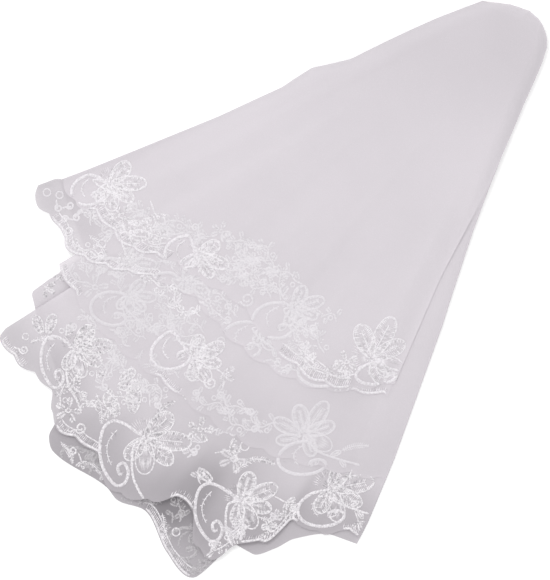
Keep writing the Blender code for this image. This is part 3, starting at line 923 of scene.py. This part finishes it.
for sheet in SHEETS:
    inner, outer = 69.5 + sheet.inset, seam_middle(sheet)
    radii, angles = tulle_grid(sheet)
    cloth = laid_sheet(f"veil_{sheet.name}", sheet, radii, angles, tulle)
    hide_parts(f"tulle_{sheet.name}")
    flat, area = cut_of(sheet, inner, outer)
    if sheet is BACK:
        # The layers folded away inside show only as a backing to the sheer ones
        radii, angles = tulle_grid(FRONT)
        middle = 0.5 * (angles[:, :1] + angles[:, -1:])
        inside = laid_sheet("folds_inside", FRONT, radii, middle + (angles - middle) * 0.985, inner_tulle,
                            lying=0.72)
        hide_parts("hidden_folds")
        flat, area = cut_of(FRONT, 69.5 + FRONT.inset, seam_middle(FRONT))
    radii, angles = lace_grid(sheet)
    net = back_net if sheet is BACK else lace_net
    edging = laid_sheet(f"edging_{sheet.name}", sheet, radii, angles, net)
    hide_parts(f"lace_{sheet.name}")

# The border's repeats, in plan: the scroll's middle, clockwise turn and proportions, then its flower's place
# from there, turn and size, and whether the net over it veils it
Motif = namedtuple("Motif", "sheet kind x y turn wide tall flower_x flower_y flower_turn size veiled")
MOTIFS = [
    Motif("front", "round", 55.0, -253.0, 0, 0.92, 0.80, 11, 23, 6, 1.12, False),
    Motif("front", "narrow", -74.0, -257.0, 0, 0.80, 1.14, 37, 13, -6, 1.00, False),
    Motif("front", "narrow", -183.0, -189.0, 0, 0.84, 1.28, 36, 17, 22, 1.18, False),
    Motif("front", "narrow", -254.0, -84.0, 0, 0.66, 1.02, 27, 14, 8, 0.95, False),
    Motif("middle", "round", 33.0, -194.5, 0, 0.95, 0.75, 4, 28, -40, 0.98, True),
    Motif("front", "round", 33.0, -194.5, 0, 0.95, 0.75, 4, 28, -40, 0.98, True),
    Motif("middle", "round", -118.4, -72.0, -10, 0.78, 0.80, 28, -10, -14, 0.86, False),
    Motif("middle", "round", -188.0, -22.0, 20, 0.75, 0.75, 22, 14, 20, 0.70, True),
    Motif("second", "round", -190.0, 18.0, 20, 0.72, 0.70, 22, 12, 20, 0.75, True),
    Motif("second", "round", -128.0, -2.0, 10, 0.80, 0.80, 26, 10, 0, 0.80, True),
    Motif("second", "round", -36.0, -58.0, 12, 0.80, 0.80, 24, 14, 0, 0.80, True),
    Motif("second", "round", 52.0, -94.0, 6, 0.80, 0.70, 22, 22, -20, 0.80, True),
    Motif("top", "round", -214.3, 113.2, 0, 0.62, 0.66, 27, 8, 16, 0.92, False),
    Motif("top", "round", -104.0, 42.0, 4, 0.70, 0.70, 17, -4, 34, 0.84, False),
    Motif("top", "round", 118.0, -97.0, -4, 0.80, 0.50, -5, 18, -46, 1.16, False),
    Motif("top", "round", 0.0, -36.0, 12, 0.80, 0.80, 24, 14, 0, 0.80, True),
    Motif("back", "round", -103.0, -292.0, 20, 0.60, 0.70, 16, 14, 10, 0.60, True),
    Motif("back", "round", -225.0, -196.0, 30, 0.70, 0.50, 22, 10, 20, 0.70, True),
]

# Smaller stitched parts between the repeats
Loose = namedtuple("Loose", "sheet kind x y turn size veiled")
LOOSE = [
    Loose("front", "leaf", -178.0, -146.0, -30, 1.00, False),
    Loose("front", "leaf", -162.0, -144.0, 4, 1.15, False),
    Loose("front", "leaf", -180.0, -112.0, 88, 0.90, False),
    Loose("front", "leaf", -177.0, -107.0, 52, 0.75, False),
    Loose("front", "leaf", -266.0, -52.0, -22, 0.75, False),
    Loose("front", "leaf", -260.0, -52.0, 18, 0.80, False),
    Loose("front", "ring", -285.0, -55.0, 0, 0.80, False),
    Loose("front", "leaf", -70.0, -222.0, -50, 0.70, False),
    Loose("front", "leaf", -258.0, -118.0, 200, 0.80, False),
    Loose("front", "flower", -84.0, -162.0, 10, 1.00, False),
    Loose("front", "fern", -46.0, -212.0, 40, 1.00, False),
    Loose("front", "fern", -30.0, -196.0, 80, 0.90, False),
    Loose("front", "spray", -50.0, -186.0, 20, 1.10, False),
    Loose("front", "ring", -33.0, -181.0, 0, 1.10, False),
    Loose("front", "flower", -46.0, -196.0, 20, 1.10, True),
    Loose("front", "spray", 14.0, -246.0, 60, 0.90, False),
    Loose("front", "fern", -18.0, -262.0, 100, 0.80, False),
    Loose("front", "flower", -236.0, -140.0, 10, 1.00, False),
    Loose("front", "curl", -222.0, -160.0, 0, 0.90, False),
    Loose("front", "fern", -204.0, -120.0, 150, 1.00, False),
    Loose("front", "spray", -190.0, -138.0, 70, 1.00, False),
    Loose("front", "fern", -138.0, -150.0, 30, 0.90, False),
    Loose("front", "ring", -99.0, -122.0, 0, 1.10, False),
    Loose("front", "fern", -280.0, -62.0, 60, 0.80, False),
    Loose("front", "curl", -287.0, -70.0, 30, 0.70, False),
    Loose("front", "flower", -214.0, -56.0, 20, 0.80, False),
    Loose("front", "spray", 98.0, -268.0, 100, 0.80, False),
    Loose("middle", "curl", -72.0, -108.0, 60, 1.00, False),
    Loose("middle", "spray", -58.0, -97.0, 60, 1.10, False),
    Loose("middle", "flower", -205.0, 2.0, 0, 1.00, True),
    Loose("middle", "fern", -150.0, -70.0, 200, 1.00, True),
    Loose("middle", "ring", -60.0, -60.0, 0, 1.00, True),
    Loose("middle", "fern", 78.0, -186.0, 60, 0.90, True),
    Loose("middle", "leaf", 30.0, -166.0, -62, 1.10, True),
    Loose("middle", "leaf", 30.0, -172.0, -96, 0.90, True),
    Loose("second", "ring", -260.5, 111.0, 0, 0.95, True),
    Loose("second", "ring", -246.0, 108.0, 0, 0.90, True),
    Loose("second", "curl", -247.0, 93.0, 90, 0.60, True),
    Loose("second", "curl", -234.0, 96.0, 0, 0.60, True),
    Loose("second", "curl", -240.0, 80.0, 200, 0.60, True),
    Loose("second", "curl", -226.0, 82.0, 140, 0.60, True),
    Loose("second", "curl", -235.4, 66.3, 0, 0.80, False),
    Loose("second", "ring", -197.0, 52.0, 0, 1.00, False),
    Loose("second", "spray", -170.0, 40.0, 100, 1.00, False),
    Loose("second", "fern", -212.0, 62.0, 120, 0.90, False),
    Loose("second", "flower", -75.0, -14.0, 20, 1.00, True),
    Loose("top", "flower", -174.0, 84.0, 40, 1.10, False),
    Loose("top", "fern", -196.0, 86.0, 120, 1.00, False),
    Loose("top", "fern", -176.0, 72.0, 130, 1.00, False),
    Loose("top", "spray", -136.0, 86.0, 100, 1.00, False),
    Loose("top", "flower", -60.0, 66.0, 20, 0.80, True),
    Loose("top", "spray", 62.0, -92.0, 70, 1.00, False),
    Loose("top", "fern", 28.0, -90.0, 80, 1.00, False),
    Loose("top", "flower", 84.0, -84.0, -20, 0.90, False),
    Loose("top", "fern", 10.0, -62.0, 110, 1.00, True),
    Loose("top", "curl", -30.0, -12.0, 0, 1.10, True),
    Loose("back", "fern", -245.0, -176.0, 130, 0.80, False),
    Loose("back", "curl", -231.0, -186.0, 40, 0.70, False),
    Loose("back", "spray", -221.0, -199.0, 100, 0.65, False),
    Loose("back", "fern", -212.0, -200.0, 118, 0.65, False),
    Loose("back", "flower", -192.0, -216.0, 20, 0.55, False),
    Loose("back", "ring", -240.0, -160.0, 0, 0.70, False),
    Loose("back", "fern", -128.0, -258.0, 160, 0.90, False),
    Loose("back", "ring", -112.0, -280.0, 0, 1.00, False),
    Loose("back", "spray", -262.0, 2.0, 60, 0.90, False),
]

# Stretches of hem that have the comb edging, between two angles
Comb = namedtuple("Comb", "sheet low high deep")
COMBS = [
    Comb("front", 26.6, 30.2, 8), Comb("front", 35.2, 37.4, 8), Comb("front", 44.6, 48.6, 9),
    Comb("front", 54.2, 57.0, 8), Comb("front", 20.9, 22.4, 7),
    Comb("middle", 43.0, 46.0, 8), Comb("middle", 56.6, 59.8, 8),
    Comb("second", 53.4, 64.6, 9), Comb("second", 23.2, 27.6, 7),
    Comb("top", 54.6, 63.8, 11), Comb("top", 28.4, 37.6, 11),
    Comb("back", 32.4, 38.4, 9),
]

# Leafy stems that fill the lace between the repeats: where from and to, how far in from the hem, how far they
# wave and over what length, and whether the net over them veils them
Vine = namedtuple("Vine", "sheet low high deep wave length veiled")
VINES = [
    Vine("top", 54.0, 63.8, 19, 1.5, 20, False),
    Vine("top", 53.0, 63.6, 30, 2, 24, False),
    Vine("top", 46.0, 62.0, 54, 6, 48, True),
    Vine("top", 36.0, 52.0, 30, 4, 40, True),
    Vine("top", 36.0, 50.0, 52, 5, 44, True),
    Vine("top", 28.0, 36.0, 20, 2, 22, False),
    Vine("second", 56.0, 66.0, 24, 3, 30, False),
    Vine("second", 56.0, 66.0, 37, 3, 27, True),
    Vine("second", 57.0, 65.6, 49, 3, 27, True),
    Vine("second", 44.0, 56.0, 24, 4, 36, True),
    Vine("middle", 45.0, 59.5, 26, 4, 36, True),
    Vine("middle", 43.0, 59.0, 50, 5, 42, True),
    Vine("middle", 43.0, 58.0, 74, 5, 46, True),
    Vine("middle", 33.0, 44.0, 30, 5, 42, True),
    Vine("front", 38.0, 55.0, 78, 5, 42, True),
    Vine("front", 36.0, 55.0, 100, 5, 42, True),
    Vine("front", 28.0, 37.0, 30, 5, 36, True),
    Vine("top", 53.0, 63.6, 41, 2, 24, True),
    Vine("top", 48.0, 65.0, 42, 6, 52, True),
    Vine("top", 34.0, 55.0, 66, 7, 60, True),
    Vine("top", 31.0, 50.0, 18, 6, 50, True),
    Vine("top", 33.0, 48.0, 40, 6, 56, True),
    Vine("second", 54.0, 67.0, 12, 4, 40, False),
    Vine("second", 40.0, 55.0, 12, 5, 44, True),
    Vine("second", 55.0, 62.0, 34, 5, 44, True),
    Vine("second", 26.0, 38.0, 9, 3, 44, True),
    Vine("middle", 44.0, 59.5, 14, 5, 48, True),
    Vine("middle", 42.0, 59.0, 38, 6, 52, True),
    Vine("middle", 44.0, 58.0, 62, 6, 56, True),
    Vine("middle", 47.0, 58.0, 86, 6, 50, False),
    Vine("middle", 34.0, 42.0, 16, 5, 50, True),
    Vine("front", 44.6, 56.5, 18, 6, 50, False),
    Vine("front", 44.0, 56.0, 42, 7, 58, False),
    Vine("front", 40.0, 55.0, 66, 7, 60, False),
    Vine("front", 38.0, 55.0, 88, 6, 52, True),
    Vine("front", 24.0, 34.0, 20, 6, 44, False),
    Vine("front", 28.0, 35.0, 44, 6, 50, True),
    Vine("back", 31.5, 47.6, 10, 3, 34, True),
    Vine("back", 32.5, 46.0, 24, 4, 36, True),
    Vine("back", 32.5, 46.0, 38, 5, 50, True),
    Vine("back", 59.0, 66.5, 14, 4, 40, False),
    Vine("back", 59.0, 66.5, 36, 4, 44, False),
]

FORMS = {
    "flower": stitch_blossom,
    "ring": stitch_ring,
    "curl": stitch_curl,
    "fern": stitch_fern,
    "spray": stitch_spray,
    "leaf": stitch_leaf,
}
VEILED_RELIEF = 0.45

for sheet in SHEETS:
    over, veiled = Stitches(sheet), Stitches(sheet, VEILED_RELIEF)
    taken = []
    for motif in [motif for motif in MOTIFS if motif.sheet == sheet.name]:
        layer = veiled if motif.veiled else over
        flower_x, flower_y = motif.x + motif.flower_x, motif.y + motif.flower_y
        scroll = Placed(layer, motif.x, motif.y, motif.turn, motif.wide, motif.tall)
        stitch_motif(motif.kind, scroll, Placed(layer, flower_x, flower_y, motif.flower_turn, motif.size, motif.size))
        taken.append((motif.x, motif.y, 27 * max(motif.wide, motif.tall)))
        lean = math.radians(motif.flower_turn + 70)
        taken.append((flower_x + 15 * motif.size * math.sin(lean), flower_y + 15 * motif.size * math.cos(lean),
                      27 * motif.size))
    for part in [part for part in LOOSE if part.sheet == sheet.name]:
        layer = veiled if part.veiled else over
        FORMS[part.kind](Placed(layer, part.x, part.y, part.turn, part.size, part.size))
        taken.append((part.x, part.y, 11))
    for vine in [vine for vine in VINES if vine.sheet == sheet.name]:
        stitch_vine(veiled if vine.veiled else over, vine, taken)
    for comb in [comb for comb in COMBS if comb.sheet == sheet.name]:
        comb_hem(over, comb.low, comb.high, comb.deep)
    nodes = [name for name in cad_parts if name.startswith(f"embroidery_{sheet.name}")]
    # The front's and back's stitches take the thread with the deeper painted shade
    raised = over.finish(f"stitching_{sheet.name}", thread if sheet in (FRONT, BACK) else soft_thread, "thread")
    if nodes:
        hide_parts(*nodes)
    if veiled.count:
        dull = {"back": shaded_thread, "middle": faint_thread}.get(sheet.name, veiled_thread)
        veiled.finish(f"stitching_veiled_{sheet.name}", dull, "thread")
    spread = side_angle(sheet, 620.0, "left") - side_angle(sheet, 620.0, "right")
    strip = (seam_middle(sheet) + 0.5 * LACE_WIDTH) * math.radians(float(spread))

floor_mesh = bpy.data.meshes.new("floor")
floor_mesh.from_pydata([(-4, -4, 0), (4, -4, 0), (4, 4, 0), (-4, 4, 0)], [], [(0, 1, 2, 3)])
floor = bpy.data.objects.new("floor", floor_mesh)
bpy.context.scene.collection.objects.link(floor)
floor_material = bpy.data.materials.new("floor")
floor_material.use_nodes = True
shader_of(floor_material).inputs["Base Color"].default_value = (0.85, 0.85, 0.85, 1)
shader_of(floor_material).inputs["Emission Color"].default_value = (1, 1, 1, 1)
shader_of(floor_material).inputs["Emission Strength"].default_value = 0.3
floor_mesh.materials.append(floor_material)

world = bpy.data.worlds.new("studio")
world.use_nodes = True
world.node_tree.nodes["Background"].inputs["Color"].default_value = (1, 1, 1, 1)
world.node_tree.nodes["Background"].inputs["Strength"].default_value = 0.80
bpy.context.scene.world = world
key = bpy.data.objects.new("key", bpy.data.lights.new("key", "SUN"))
key.data.energy = 0.75
key.data.angle = math.radians(25)
key.rotation_euler = (math.radians(-24), math.radians(-20), 0)
bpy.context.scene.collection.objects.link(key)

CAMERA_X = 1.9
CAMERA_Y = -1.3
CAMERA_UP = 6000.0
VIEW_WIDTH = 632.5
camera = bpy.data.objects.new("camera", bpy.data.cameras.new("camera"))
camera.data.sensor_fit = "HORIZONTAL"
camera.data.sensor_width = 36.0
camera.data.lens = 36.0 * (CAMERA_UP - 10) / VIEW_WIDTH
camera.data.clip_end = 100.0
camera.location = (CAMERA_X * MM, CAMERA_Y * MM, CAMERA_UP * MM)
bpy.context.scene.collection.objects.link(camera)
bpy.context.scene.camera = camera
bpy.context.scene.view_settings.view_transform = "Standard"
